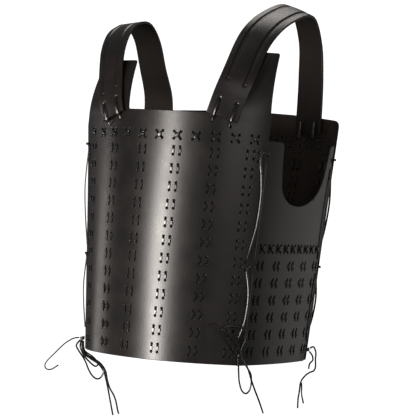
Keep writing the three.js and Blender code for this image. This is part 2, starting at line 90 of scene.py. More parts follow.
def colour(code):
    """Linear red, green, blue and alpha from an sRGB hex code."""
    channels = [int(code[i:i + 2], 16) / 255 for i in (1, 3, 5)]
    return [c / 12.92 if c <= 0.04045 else ((c + 0.055) / 1.055) ** 2.4 for c in channels] + [1.0]


def add_node(tree, kind, inputs=None, **settings):
    """Adds one shader node with its settings; an input is a plain value or another node's output socket."""
    node = tree.nodes.new(kind)
    for key, value in settings.items():
        setattr(node, key, value)
    for key, value in (inputs or {}).items():
        if isinstance(value, bpy.types.NodeSocket):
            tree.links.new(value, node.inputs[key])
        else:
            node.inputs[key].default_value = value
    return node


def leather(name, base, worn, roughness, cell_mm, bump_mm, coat=0.0, spread=0.08, ior=1.5):
    """Leather material: two tones mottled over a few centimetres, a cell-like grain, and uneven polish."""
    material = bpy.data.materials.new(name)
    material.use_nodes = True
    tree = material.node_tree
    tree.nodes.clear()
    place = add_node(tree, "ShaderNodeTexCoord").outputs["Object"]
    mottle = add_node(tree, "ShaderNodeTexNoise", {
        "Vector": place, "Scale": 1 / (mottle_mm * mm), "Detail": 4.0, "Roughness": 0.6}).outputs["Fac"]
    tone = add_node(tree, "ShaderNodeMapRange", {
        "Value": mottle, "From Min": 0.35, "From Max": 0.75}).outputs["Result"]
    tint = add_node(tree, "ShaderNodeMix", {
        "Factor": tone, "A": colour(base), "B": colour(worn)}, data_type="RGBA")
    cells = add_node(tree, "ShaderNodeTexVoronoi", {
        "Vector": place, "Scale": 1 / (cell_mm * mm), "Randomness": 1.0}, feature="F1").outputs["Distance"]
    pores = add_node(tree, "ShaderNodeTexNoise", {
        "Vector": place, "Scale": 1 / (pore_mm * mm), "Detail": 3.0}).outputs["Fac"]
    relief = add_node(tree, "ShaderNodeMath", {0: cells, 1: pores}, operation="ADD").outputs["Value"]
    bump = add_node(tree, "ShaderNodeBump", {
        "Height": relief, "Strength": 0.55, "Distance": bump_mm * mm}).outputs["Normal"]
    polish = add_node(tree, "ShaderNodeMapRange", {
        "Value": mottle, "To Min": roughness - spread, "To Max": roughness + spread}).outputs["Result"]
    shader = add_node(tree, "ShaderNodeBsdfPrincipled", {
        "Base Color": tint.outputs["Result"], "Roughness": polish, "Normal": bump, "IOR": ior,
        "Coat Weight": coat, "Coat Roughness": 0.28})
    add_node(tree, "ShaderNodeOutputMaterial", {"Surface": shader.outputs["BSDF"]})
    return material


grain_side = leather("polished_black_cowhide", grain_black, grain_worn, 0.31, grain_cell_mm, 0.09, coat=0.25)
flesh_side = leather("cowhide_flesh_side", flesh_brown, edge_brown, 0.82, fibre_mm, 0.2)
cut_edge = leather("burnished_cowhide_edge", edge_brown, grain_black, 0.5, grain_cell_mm, 0.08)

# The body's form in millimetres. Every panel is a piece of a section that shrinks towards the hem and leans
# forward there; s runs along the leather, out is the distance from the middle of its wall.
wall_mm = 3
full_z = -162
hem_z = -536
taper = 0.097
hem_forward = 25.5
tab_base_z = -156.5
front_radius, front_centre_y, front_half, front_narrow = 223, -186.8, 173.5, 0.022
back_radius, back_centre_y, back_half, back_skew = 518.6, 128.5, 200.6, -15.8
side_width, side_bulge, side_front_lap, side_rear_lap, side_inset, right_reach = 210, 9, 6, 0.8, 4.2, 0.995
flare_from, flare_top, flare_hem = 110, 5, -9.5
left_tab = {"neck": 75, "top": -58.5, "lean_edge": 24, "lean_neck": 50}
right_tab = {"neck": 57, "top": -79, "lean_edge": 31, "lean_neck": 28}
lean_power = 1.7


def as_arrays(*values):
    """The values as float arrays of one shape."""
    return np.broadcast_arrays(*(np.asarray(value, float) for value in values))


def unit(vectors):
    """The vectors, each divided by its length."""
    return vectors / np.linalg.norm(vectors, axis=-1, keepdims=True)


def drop(z):
    """0 at the chest, 1 at the hem."""
    return (full_z - z) / (full_z - hem_z)


def body_point(x, y, z):
    """The full-size section's point, shrunk by the taper and carried forward in step with the drop."""
    size = 1 - taper * drop(z)
    return np.stack([x * size, y * size - hem_forward * drop(z), z + 0 * x], -1)


def tab_lean(s, z):
    """How far back a shoulder tab has bent: a power of the height above its base, blended neck to edge."""
    lean = np.zeros(np.broadcast(s, z).shape)
    for tab, chosen in ((left_tab, s > 0), (right_tab, s <= 0)):
        up = np.clip((z - tab_base_z) / (tab["top"] - tab_base_z), 0, None)
        across = np.clip((front_half - np.abs(s)) / (front_half - tab["neck"]), 0, 1)
        bent = (tab["lean_edge"] + (tab["lean_neck"] - tab["lean_edge"]) * across) * up ** lean_power
        lean = np.where(chosen, bent, lean)
    return lean


def on_front(s, z, out):
    """Front panel: an arc about an upright axis, its right corner flared, plus out along its normal."""
    s, z, out = as_arrays(s, z, out)
    angle = s / front_radius
    past = np.clip(-s - flare_from, 0, None) / (front_half - flare_from)
    flare = flare_top + (flare_hem - flare_top) * np.clip(drop(z), 0, None)
    radius = front_radius + flare * past ** 2
    middle = body_point(radius * np.sin(angle), front_centre_y + front_radius - radius * np.cos(angle), z)
    away = np.stack([np.sin(angle) * out, -np.cos(angle) * out + tab_lean(s, z), 0 * s], -1)
    return middle + away


def on_back(s, z, out):
    """Back panel: a flatter arc, set a little towards the wearer's right, plus out along its normal."""
    s, z, out = as_arrays(s, z, out)
    angle = s / back_radius
    deep = back_centre_y - back_radius * (1 - np.cos(angle))
    middle = body_point(back_radius * np.sin(angle) + back_skew, deep, z)
    return middle + np.stack([np.sin(angle) * out, np.cos(angle) * out, 0 * s], -1)


def on_side(hand, s, z, out):
    """Side panel: a chord from inside the front's edge to inside the back's, bowed out as a parabola."""
    s, z, out = as_arrays(s, z, out)
    front_edge = hand * (front_half * (1 - front_narrow * drop(z)) - side_front_lap)
    start = on_front(front_edge, z, -side_inset)
    start[..., 1] -= tab_lean(hand * front_half, z)
    along = on_back(hand * (back_half - side_rear_lap), z, -side_inset) - start
    length = np.linalg.norm(along, axis=-1, keepdims=True)
    outward = np.stack([along[..., 1], -along[..., 0], 0 * z], -1) / length * hand
    t = (s / side_width)[..., None]
    reach = 1 if hand > 0 else right_reach
    point = start + along * t * reach + outward * side_bulge * 4 * t * (1 - t)
    slope = side_bulge * 4 * (1 - 2 * t) / length
    return point + unit(outward - along / length * slope) * out[..., None]


# Lacing pattern that imitates rows of small plates: a row of crosses under the top edge, and below it columns
# of paired upright stitches. Every stitch of flat thong goes through two punched holes.
hole_radius = 2.0
hole_lip = 0.7
stitch_half = 5.9
pair_half = 5.3
cross_half = 5.5
front_lacing = {
    "crosses": 11, "cross_pitch": 30, "cross_z": -193.4, "cross_shift": 2.5,
    "columns": 6, "first_z": -217.1, "rows": 12, "row_pitch": 27.3, "narrow": 0.048,
    # The columns were punched by eye: how far each one strays sideways at its top and at its foot
    "stray": [(3, 0), (4.5, 0), (3.8, -7), (3.3, -6.2), (3, 1.5), (-2, 3)]}
back_lacing = {
    "crosses": 13, "cross_pitch": 30, "cross_z": -187, "cross_shift": 0,
    "columns": 7, "first_z": -211, "rows": 12, "row_pitch": 27.3, "narrow": 0.048,
    "stray": [(0, 0)] * 7}
side_lacing = {
    "crosses": 9, "cross_pitch": 21.2, "cross_z": -358, "cross_shift": 0,
    "columns": 5, "first_z": -384.9, "rows": 6, "row_pitch": 26.4, "narrow": 0,
    "stray": [(0, 0)] * 5}


def rows_of(s, z):
    """Rows of s, z from two arrays, or from an array and one number."""
    return np.stack(np.broadcast_arrays(s, z), -1)


def lacing_places(lacing, centre):
    """Middles of the crosses, and s, z of every upright stitch with the side of its pair (-1 or 1)."""
    numbers = np.arange(lacing["crosses"]) - (lacing["crosses"] - 1) / 2
    cross_s = centre + lacing["cross_shift"] + numbers * lacing["cross_pitch"]
    row, column, hand = np.meshgrid(
        np.arange(lacing["rows"]), np.arange(lacing["columns"]), [-1, 1], indexing="ij")
    squeeze = 1 - lacing["narrow"] * row / (lacing["rows"] - 1)
    at_top, at_foot = np.array(lacing["stray"], float)[column].transpose(3, 0, 1, 2)
    stray = at_top + (at_foot - at_top) * row / (lacing["rows"] - 1)
    pitch = 2 * lacing["cross_pitch"]
    s = centre + (column - (lacing["columns"] - 1) / 2) * pitch * squeeze + stray
    s = s + hand * pair_half
    z = lacing["first_z"] - row * lacing["row_pitch"]
    return cross_s, s.ravel(), z.ravel(), hand.ravel()


def lacing_holes(lacing, centre):
    """Punched holes of the pattern, as rows of s, z: four to a cross and two to a stitch."""
    cross_s, s, z, _ = lacing_places(lacing, centre)
    offset = np.array([[-1, -1], [1, -1], [1, 1], [-1, 1]]) * cross_half
    crosses = rows_of(cross_s, lacing["cross_z"])[:, None] + offset
    return np.concatenate([
        crosses.reshape(-1, 2), rows_of(s, z - stitch_half), rows_of(s, z + stitch_half)])


# Panels: each is cut flat to its outline, punched, bent to the body's form and burnished along its edges.
edge_round = 0.8
edge_fall = 0.55
rim_fall = 0.4
outline_step = 5
corner_points = 6
edge_clearance = 3.5
grid_step = 9
hole_sides = 9
waves = [(0.4, 43, 97), (0.45, -83, 61)]    # height, and the run along s and along z that gives one radian


def outline_through(corners):
    """Points every few millimetres round corners (s, z, radius): straight lines with rounded corners."""
    corners = np.array(corners, float)
    points = []
    for i, (s, z, radius) in enumerate(corners):
        here = np.array([s, z])
        following = corners[(i + 1) % len(corners)]
        after = unit(following[:2] - here)
        into = here + unit(corners[i - 1][:2] - here) * radius
        leave = here + after * radius
        t = np.linspace(0, 1, corner_points if radius else 1)[:, None]
        bend = (1 - t) ** 2 * into + 2 * t * (1 - t) * here + t ** 2 * leave
        stop = following[:2] - after * following[2]
        count = max(1, int(np.linalg.norm(stop - leave) / outline_step))
        run = leave + (stop - leave) * np.linspace(0, 1, count + 1)[1:-1, None]
        points += [bend, run]
    return np.concatenate(points)


def inset(outline, distance):
    """The outline moved inwards along the mean normal of its neighbouring edges; it runs anticlockwise."""
    along = unit(np.roll(outline, -1, 0) - np.roll(outline, 1, 0))
    return outline + np.stack([-along[:, 1], along[:, 0]], -1) * distance


def inside(points, outline):
    """Even-odd test of points against a closed outline, as one array of point by edge."""
    a, b = outline, np.roll(outline, -1, 0)
    crosses = (a[:, 1] > points[:, 1, None]) != (b[:, 1] > points[:, 1, None])
    rise = np.where(b[:, 1] == a[:, 1], 1, b[:, 1] - a[:, 1])
    at = a[:, 0] + (points[:, 1, None] - a[:, 1]) / rise * (b[:, 0] - a[:, 0])
    return (crosses & (points[:, 0, None] < at)).sum(1) % 2 == 1


def circle_of(sides):
    """The corners of a regular polygon with radius 1."""
    turn = np.arange(sides) * 2 * np.pi / sides
    return rows_of(np.cos(turn), np.sin(turn))


def cut_panel(outline, holes):
    """Flat pattern of a panel as s, z points, how far each stands off the wall's face, and its triangles."""
    circle = circle_of(hole_sides)
    rim = (holes[:, None] + circle * hole_radius).reshape(-1, 2)
    lip = (holes[:, None] + circle * (hole_radius + hole_lip)).reshape(-1, 2)
    spans = zip(outline.min(0), outline.max(0))
    axes = (np.arange(low + grid_step / 2, high, grid_step) for low, high in spans)
    grid = np.stack(np.meshgrid(*axes), -1).reshape(-1, 2)
    clear_of_holes = np.linalg.norm(grid[:, None] - holes, axis=2).min(1) > hole_radius + 2 * hole_lip
    clear_of_edge = np.linalg.norm(grid[:, None] - outline, axis=2).min(1) > edge_clearance
    grid = grid[clear_of_holes & clear_of_edge & inside(grid, outline)]
    ring = inset(outline, edge_round)
    points = np.concatenate([outline, ring, rim, lip, grid])
    counts = len(outline), len(ring), len(rim), len(lip) + len(grid)
    lift = np.repeat([-edge_fall, 0, -rim_fall, 0], counts)
    edges = [(i, (i + 1) % len(outline)) for i in range(len(outline))]
    first_rim = 2 * len(outline)
    for hole in range(len(holes)):
        base = first_rim + hole * hole_sides
        edges += [(base + i, base + (i + 1) % hole_sides) for i in range(hole_sides)]
    cut = geometry.delaunay_2d_cdt([Vector(p) for p in points], edges, [], 1, 1e-4)
    triangles = np.array(cut[2])
    origin = np.array([ids[0] for ids in cut[3]])
    triangles = origin[triangles]
    hole_of = np.full(len(points), -1)
    hole_of[first_rim:first_rim + len(rim)] = np.repeat(np.arange(len(holes)), hole_sides)
    own = hole_of[triangles]
    waste = (own[:, 0] >= 0) & (own[:, 0] == own[:, 1]) & (own[:, 1] == own[:, 2])
    middle = points[triangles].mean(1)
    return points, lift, triangles[~waste & inside(middle, outline)]


def new_piece(name, points_mm, faces, materials, smooth_angle=35, index=None):
    """A piece in the part's frame from points in millimetres, its faces turned out and shaded smooth."""
    mesh = bpy.data.meshes.new(name)
    mesh.from_pydata((np.asarray(points_mm, float) * mm).tolist(), [], faces)
    for material in materials:
        mesh.materials.append(material)
    if index is not None:
        mesh.polygons.foreach_set("material_index", np.asarray(index, np.int32))
    work = bmesh.new()
    work.from_mesh(mesh)
    bmesh.ops.recalc_face_normals(work, faces=work.faces)
    work.to_mesh(mesh)
    work.free()
    mesh.polygons.foreach_set("use_smooth", np.ones(len(mesh.polygons), bool))
    mesh.set_sharp_from_angle(angle=math.radians(smooth_angle))
    mesh.update()
    piece = bpy.data.objects.new(name, mesh)
    scene.collection.objects.link(piece)
    return piece


def uneven(place, s, z, out):
    """place() with the slight unevenness of stiff leather: plus the sum of height * sin(s / a + z / b)."""
    wave = sum(height * np.sin(s / a + z / b) for height, a, b in waves)
    return place(s, z, out + wave)


def face_normals(place, s, z, out):
    """Unit normals of a bent face: the cross product of its slopes along s and z, on the side of out."""
    step = 0.5
    along_s = uneven(place, s + step, z, out) - uneven(place, s - step, z, out)
    along_z = uneven(place, s, z + step, out) - uneven(place, s, z - step, out)
    away = unit(np.cross(along_s, along_z))
    return away * np.sign((away * (place(s, z, 2 * out) - place(s, z, out))).sum(1, keepdims=True))


def panel(name, node, outline, holes, place):
    """A leather panel: the punched pattern bent twice, for its two faces, and joined round every cut edge."""
    points, lift, triangles = cut_panel(outline, holes)
    s, z = points[:, 0], points[:, 1]
    half = wall_mm / 2
    both = np.concatenate([uneven(place, s, z, half + lift), uneven(place, s, z, -half - lift)])
    count = len(points)
    sides = np.concatenate([triangles[:, [0, 1]], triangles[:, [1, 2]], triangles[:, [2, 0]]])
    ordered = np.sort(sides, 1)
    _, where, times = np.unique(ordered, axis=0, return_index=True, return_counts=True)
    rim = sides[where[times == 1]]
    rim_faces = np.stack([rim[:, 1], rim[:, 0], rim[:, 0] + count, rim[:, 1] + count], -1)
    faces = triangles.tolist() + (triangles[:, ::-1] + count).tolist() + rim_faces.tolist()
    index = [0] * len(triangles) + [1] * len(triangles) + [2] * len(rim_faces)
    piece = new_piece(name, both, faces, [grain_side, flesh_side, cut_edge], index=index)
    flat = (lift == 0)[:, None]
    normals = [face_normals(place, s, z, face) * flat for face in (half, -half)]
    piece.data.normals_split_custom_set_from_vertices(np.concatenate(normals).tolist())
    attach(piece, "root")
    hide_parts(node)


# Each corner's tie holes: [distance in from the edge, z] on the front or back panel and on the side panel
main_tie_holes = np.array([[12.5, -213], [12, -226], [11.5, -379.5], [11.5, -391.7], [11, -510.3]])
side_tie_holes = np.array([[13, -216], [10.5, -243], [6, -389], [6, -505]])
rear_side_tie_holes = np.array([[3.7, -216], [3.7, -243], [3.7, -398], [3.7, -503.7]])


def tie_holes(half, table):
    """The corner's tie holes on both edges of a panel that is twice half wide and centred on s = 0."""
    inward = table[:, 0] + half * front_narrow * np.clip(drop(table[:, 1]), 0, None) * (half == front_half)
    right = rows_of(inward - half, table[:, 1])
    return np.concatenate([right, right * [-1, 1]])


# Front panel, with its two shoulder tabs. They narrow upwards, the wearer's right one more than the left
front_edge_low = front_half * (1 - front_narrow)
front_outline = outline_through([
    (-front_edge_low, hem_z, 3), (front_edge_low, hem_z, 3), (front_half, full_z, 0),
    (165.5, left_tab["top"], 5), (87, left_tab["top"], 5), (75.4, tab_base_z, 3),
    (-59.4, tab_base_z, 3), (-66, right_tab["top"], 5), (-148.5, right_tab["top"], 5),
    (-front_half, -185, 0),
])
strap_tie_holes = np.array([[84.7, -169], [113.5, -176.5], [-73.9, -173], [-100.5, -182]])
front_holes = np.concatenate([
    lacing_holes(front_lacing, 0), tie_holes(front_half, main_tie_holes), strap_tie_holes])
panel("front_leather", "front_panel", front_outline, front_holes, on_front)

# Back panel: straight-sided, with a gently arched top and rounded upper corners. Its tie holes lie closer to
# its edges than the front's
back_top, back_corner, back_round = -139, -150, 12
closer = [3, 0]
arch = np.linspace(back_half, -back_half, 9)
back_outline = outline_through(
    [(-back_half, hem_z, 3), (back_half, hem_z, 3)]
    + [(s, back_top + (back_corner - back_top) * (s / back_half) ** 2,
        back_round if abs(s) == back_half else 0) for s in arch])
back_holes = np.concatenate([lacing_holes(back_lacing, 0), tie_holes(back_half, main_tie_holes - closer)])
panel("back_leather", "back_panel", back_outline, back_holes, on_back)

# Side panels: the deep curve between their two upper corners is the armhole
side_cut = [
    (0, -199), (3, -195.5), (7, -194), (26, -194), (45, -194.5), (48.5, -196), (50, -200), (52.5, -232),
    (57.5, -264), (62.5, -273.5), (70, -280.5), (82, -287), (96, -290.5), (115, -291), (128, -289),
    (140, -285.5), (158, -277), (171, -266), (180, -253), (186, -235), (190.5, -212), (194, -196),
    (200, -192), (206, -190), (210, -191.5),
]
side_hem = -537
side_lacing_shift = 8
side_outline = outline_through(
    [(0, side_hem, 3), (side_width, side_hem, 3)] + [(s, z, 0) for s, z in reversed(side_cut)])
side_middle = side_width / 2 + side_lacing_shift
side_ties = np.concatenate([side_tie_holes, [side_width, 0] + rear_side_tie_holes * [-1, 1]])
side_holes = np.concatenate([lacing_holes(side_lacing, side_middle), side_ties])
on_left, on_right = partial(on_side, 1), partial(on_side, -1)
panel("side_leather_left", "side_panel_left", side_outline, side_holes, on_left)
panel("side_leather_right", "side_panel_right", side_outline, side_holes, on_right)


# Lacing stitches: flat black thong, pulled through each pair of holes and standing a little proud between
# them. On the inside the same thongs run from one stitch to the next.
thong_black = "#100d0c"
thong_worn = "#191513"
thong_leather = leather("black_lace_leather", thong_black, thong_worn, 0.26, 0.9, 0.05, coat=0.6)
stitch_half_width = 1.8
stitch_draw = 0.9         # a stitch bends into each hole this far short of the hole's middle
stitch_half_thick = 0.6
stitch_rise = 1.15
stitch_dive = -1.7
stitch_end_width = 0.62   # of its full width, where it goes into a hole
stitch_bow = -0.15        # the two stitches of a pair bend slightly apart
cross_lift = 1.3          # the second stitch of a cross passes over the first
plug_half = 0.3
plug_past = 0.15
plug_sides = 8
# Lace inside the holes: the real lace, but coloured blacker and matter than the lace outside, as painted
# shade in the holes
lace_plug_shade = leather("lace_plug_painted_shade", "#050404", "#080706", 0.9, 0.9, 0.05)
stitch_stations = np.array([0.0, 0.07, 0.16, 0.32, 0.5, 0.68, 0.84, 0.93, 1.0])
stitch_section = np.array([[1, 0], [0.78, 1], [-0.78, 1], [-1, 0], [-0.78, -1], [0.78, -1]])


def skin_faces(stations, ring):
    """Four-sided faces of a skin drawn over a row of stations, with a ring of points at each."""
    i, j = np.meshgrid(np.arange(stations - 1), np.arange(ring), indexing="ij")
    after = (j + 1) % ring
    quads = np.stack([i * ring + j, i * ring + after, (i + 1) * ring + after, (i + 1) * ring + j], -1)
    return quads.reshape(-1, 4)


def stitches(name, place, starts, ends, face, bow=0, over=0):
    """Thong stitches from start to end holes (s, z): a flat six-sided section carried along an arc that dives
    at both ends. bow bends a stitch sideways, over lifts it across another; face is 1 outside, -1 inside."""
    bow, over = (np.broadcast_to(value, len(starts)) for value in (bow, over))
    t = stitch_stations
    swell = np.sin(np.pi * t)
    height = stitch_dive + (stitch_rise - stitch_dive) * np.clip(swell / 0.5, 0, 1) ** 0.7
    height = height + over[:, None] * swell
    run = ends - starts
    across = unit(rows_of(-run[:, 1], run[:, 0]))
    middle = starts[:, None] + run[:, None] * t[:, None] + (across * bow[:, None])[:, None] * swell[:, None]
    spread = np.clip(swell * 1.4, 0, 1)
    half_width = stitch_half_width * (stitch_end_width + (1 - stitch_end_width) * spread)
    flat = stitch_section[:, 0] * half_width[:, None]
    rise = height[..., None] + stitch_section[:, 1] * stitch_half_thick
    spot = middle[:, :, None] + across[:, None, None] * flat[None, :, :, None]
    points = place(spot[..., 0], spot[..., 1], face * (wall_mm / 2 + rise)).reshape(-1, 3)
    stations, ring = len(t), len(stitch_section)
    first = np.arange(len(starts))[:, None] * stations * ring
    faces = (skin_faces(stations, ring) + first[:, None]).reshape(-1, 4).tolist()
    faces += (np.arange(ring)[::-1] + first).tolist()
    faces += (np.arange(ring) + first + (stations - 1) * ring).tolist()
    piece = new_piece(name, points, faces, [thong_leather], smooth_angle=50)
    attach(piece, "root")


def fill_holes(name, place, holes):
    """The lace squeezed into every hole of a panel: a short plug half way through the wall, near-black as
    painted shade.
    """
    spot = holes[:, None] + circle_of(plug_sides) * (hole_radius + plug_past)
    points = np.stack([place(spot[..., 0], spot[..., 1], out) for out in (plug_half, -plug_half)], 1)
    i = np.arange(plug_sides)
    after = (i + 1) % plug_sides
    walls = np.stack([i, after, after + plug_sides, i + plug_sides], -1)
    first = np.arange(len(holes))[:, None] * 2 * plug_sides
    faces = (walls + first[:, None]).reshape(-1, 4).tolist()
    faces += (i + first).tolist() + (i[::-1] + plug_sides + first).tolist()
    piece = new_piece(name, points.reshape(-1, 3), faces, [lace_plug_shade], smooth_angle=30)
    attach(piece, "root")


def lace_panel(name, place, lacing, centre):
    """All of a panel's stitches outside, and the runs between them inside."""
    cross_s, s, z, hand = lacing_places(lacing, centre)
    top = lacing["cross_z"] + cross_half
    bottom = lacing["cross_z"] - cross_half
    left, right = cross_s - cross_half, cross_s + cross_half
    starts = np.concatenate([rows_of(left, bottom), rows_of(left, top), rows_of(s, z - stitch_half)])
    ends = np.concatenate([rows_of(right, top), rows_of(right, bottom), rows_of(s, z + stitch_half)])
    count = len(cross_s)
    drawn = unit(ends - starts) * stitch_draw
    starts, ends = starts + drawn, ends - drawn
    bow = np.concatenate([np.zeros(2 * count), stitch_bow * hand])
    over = np.concatenate([np.zeros(count), np.full(count, cross_lift), np.zeros(len(s))])
    stitches(name + "_stitches", place, starts, ends, 1, bow, over)
    pitch = lacing["row_pitch"]
    upper = z > lacing["first_z"] - (lacing["rows"] - 1.5) * pitch
    inner_starts = np.concatenate([
        rows_of(right[:-1], top), rows_of(right[:-1], bottom), rows_of(s, z - stitch_half)[upper]])
    inner_ends = np.concatenate([
        rows_of(left[1:], top), rows_of(left[1:], bottom), rows_of(s, z - pitch + stitch_half)[upper]])
    stitches(name + "_inner_runs", place, inner_starts, inner_ends, -1)


lace_panel("front", on_front, front_lacing, 0)
lace_panel("back", on_back, back_lacing, 0)
lace_panel("side_left", on_left, side_lacing, side_middle)
lace_panel("side_right", on_right, side_lacing, side_middle)
fill_holes("front_lace_plugs_painted_shade", on_front, front_holes)
fill_holes("back_lace_plugs_painted_shade", on_back, back_holes)
fill_holes("side_left_lace_plugs_painted_shade", on_left, side_holes)
fill_holes("side_right_lace_plugs_painted_shade", on_right, side_holes)


# Shoulder straps: two layers of leather glued together, 51 mm wide, with two long grooves pressed into the
# face. Each groove stops at a round punch mark, and the cut edges show the glued joint as a fine line.
strap_grain = leather("polished_strap_leather", "#161210", "#221d1a", 0.36, grain_cell_mm, 0.1, coat=0.25)
strap_lining = leather("strap_lining_leather", "#15110f", "#1f1915", 0.7, fibre_mm, 0.1, ior=1.3)
strap_half, strap_thick_half, strap_round = 25.5, 2.0, 0.7
strap_crown = 1.2
groove_offset, groove_half, groove_depth, groove_ramp = 14, 2.2, 1.8, 3
punch_radius, punch_depth, punch_past = 2.7, 2.1, 1
lace_hole_depth, front_hole_shift, rear_hole_shift = 1.9, 1, 4
tie_across, tie_up = 14, 25
strap_step = 1.3
face_columns, lining_columns = 46, 12
joint_groove = 0.3       # depth of the glued joint's line along the cut edge
end_size = 0.985         # the section at each end, as a share of the strap's
table_steps = 801
# Rows of x, y, z of the strap's middle line and its sideways tilt in degrees, from the front end to the rear
strap_routes = {
    "left": [
        (97.8, -170.4, -163, 20), (105.1, -162.6, -129.3, 28), (112.9, -153.2, -97.9, 31),
        (118, -112.8, -38.6, 27), (119.3, -37.2, 3.4, 20), (120.3, 50.6, 19.2, 20),
        (120.9, 90.5, -23.1, 21), (121.8, 99.9, -77.9, 17), (122.2, 101.8, -137.8, 15),
        (122, 100.6, -173, 15)],
    "right": [
        (-88, -173.4, -168.7, -24), (-97, -168, -142.4, -22), (-109, -152.6, -109, -20),
        (-119.2, -132.3, -64.6, -18), (-128.7, -97.8, -32.8, -15), (-137.1, -51.6, -16.1, -11),
        (-145.1, -6.5, -13.4, -1), (-150.5, 35.5, -33.5, 6), (-153.7, 67.1, -76.6, 4),
        (-154.3, 94.6, -123.1, -4), (-154.4, 99.6, -170.9, -13)],
}
groove_starts = {"left": 59, "right": 44}
groove_end_in = 40


def smooth_line(points, t, power=0.25):
    """Centripetal Catmull-Rom curve through points at t in 0..1, with its direction: each span is a cubic
    whose end slopes come from the neighbouring points, weighted by the root of the distances between them."""
    points = np.asarray(points, float)
    whole = np.concatenate([[2 * points[0] - points[1]], points, [2 * points[-1] - points[-2]]])
    place = np.clip(np.asarray(t, float), 0, 1) * (len(points) - 1)
    span = np.clip(place.astype(int), 0, len(points) - 2)
    local = (place - span)[:, None]
    p0, p1, p2, p3 = (whole[span + k] for k in range(4))
    d0, d1, d2 = (np.maximum(((b - a) ** 2).sum(1, keepdims=True) ** power, 1e-4)
                  for a, b in ((p0, p1), (p1, p2), (p2, p3)))
    slope1 = ((p1 - p0) / d0 - (p2 - p0) / (d0 + d1) + (p2 - p1) / d1) * d1
    slope2 = ((p2 - p1) / d1 - (p3 - p1) / (d1 + d2) + (p3 - p2) / d2) * d1
    square = -3 * p1 + 3 * p2 - 2 * slope1 - slope2
    cube = 2 * p1 - 2 * p2 + slope1 + slope2
    curve = p1 + slope1 * local + square * local ** 2 + cube * local ** 3
    direction = slope1 + 2 * square * local + 3 * cube * local ** 2
    return curve, unit(direction)


def even_parameters(points, count):
    """Values of t that divide the curve through points into equal lengths, and the curve's length."""
    t = np.linspace(0, 1, table_steps)
    curve, _ = smooth_line(points, t)
    travelled = np.concatenate([[0], np.cumsum(np.linalg.norm(np.diff(curve, axis=0), axis=1))])
    return np.interp(np.linspace(0, travelled[-1], count), travelled, t), travelled[-1]


class StrapFrame:
    """A strap's middle line with sideways and outward directions; at() gives points by length along it."""

    def __init__(self, route):
        route = np.array(route, float)
        self.points, self.tilts = route[:, :3], route[:, 3]
        self.knots = np.stack([np.arange(len(route)), self.tilts, 0 * self.tilts], -1)
        self.table, self.length = even_parameters(self.points, table_steps)

    def at(self, u, across, out):
        """The middle point at length u, plus across along the tilted width and out along the normal."""
        u, across, out = as_arrays(u, across, out)
        inside_u = np.clip(u, 0, self.length)
        t = np.interp(inside_u / self.length, np.linspace(0, 1, table_steps), self.table).ravel()
        middle, along = smooth_line(self.points, t)
        tilt = np.radians(smooth_line(self.knots, t)[0][:, 1])[:, None]
        level = unit(np.array([1.0, 0, 0]) - along * along[:, :1])
        up = np.cross(along, level)
        sideways = level * np.cos(tilt) + up * np.sin(tilt)
        outward = np.cross(sideways, along)
        point = middle + along * (u - inside_u).ravel()[:, None]
        point += sideways * across.ravel()[:, None] + outward * out.ravel()[:, None]
        return point.reshape(u.shape + (3,))


def strap_dents(u, across, length, groove_start):
    """How deep the face is pressed at u, across: two grooves, punch marks at their ends, and lace holes."""
    depth = np.zeros(np.broadcast(u, across).shape)
    groove_end = length - groove_end_in
    ramp = np.clip((u - groove_start) / groove_ramp, 0, 1) * np.clip((groove_end - u) / groove_ramp, 0, 1)
    for side in (-1, 1):
        centre = side * groove_offset
        depth = np.maximum(depth, groove_depth * ramp * np.exp(-((across - centre) / groove_half) ** 4))
        for end in (groove_start - punch_past, groove_end + punch_past):
            apart = np.hypot(u - end, across - centre)
            depth = np.maximum(depth, punch_depth * np.exp(-(apart / punch_radius) ** 4))
        for hole in (tie_up + front_hole_shift, length - tie_up + rear_hole_shift):
            apart = np.hypot(u - hole, across - side * tie_across)
            depth = np.maximum(depth, lace_hole_depth * np.exp(-(apart / punch_radius) ** 4))
    return depth


def end_faces(stations, ring):
    """The two faces that close such a skin at its ends."""
    return [list(range(ring))[::-1], [(stations - 1) * ring + k for k in range(ring)]]


def shoulder_strap(hand):
    """The strap's rounded oblong section carried along its route, closed at both ends."""
    line = StrapFrame(strap_routes[hand])
    u = np.linspace(0, line.length, int(line.length / strap_step))
    flat_half = strap_half - strap_round
    flat = np.linspace(-flat_half, flat_half, face_columns)
    turn = np.radians([60, 30, 0])
    bend = strap_round * np.cos(turn), strap_thick_half - strap_round + strap_round * np.sin(turn)
    corner = flat_half + bend[0]
    edge_x = np.concatenate([corner, [strap_half - joint_groove], corner[::-1]])
    edge_out = np.concatenate([bend[1], [0], -bend[1][::-1]])
    under = np.linspace(flat_half, -flat_half, lining_columns)
    across = np.concatenate([flat, edge_x, under, -edge_x])
    out = np.concatenate([
        np.full(face_columns, strap_thick_half), edge_out,
        np.full(lining_columns, -strap_thick_half), -edge_out])
    ring = len(across)
    on_face = np.arange(ring) < face_columns
    dent = strap_dents(u[:, None], across, line.length, groove_starts[hand]) * on_face
    size = np.ones((len(u), 1))
    size[[0, -1]] = end_size
    crown = strap_crown * (1 - (across / strap_half) ** 2)
    points = line.at(u[:, None], across * size, out * size + crown - dent).reshape(-1, 3)
    nudge = 0.01
    under_side = (np.abs(out + strap_thick_half) < nudge) & (np.abs(across) < flat_half + nudge)
    on_edge = ~(on_face & np.roll(on_face, -1)) & (np.abs(across) >= flat_half - nudge)
    index = np.where(under_side, 1, np.where(on_edge, 2, 0)).tolist() * (len(u) - 1) + [2, 2]
    faces = skin_faces(len(u), ring).tolist() + end_faces(len(u), ring)
    materials = strap_grain, strap_lining, cut_edge
    piece = new_piece(f"shoulder_strap_{hand}", points, faces, materials, smooth_angle=40, index=index)
    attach(piece, "root")
    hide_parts(f"strap_{hand}")
    return line


strap_lines = {hand: shoulder_strap(hand) for hand in ("left", "right")}


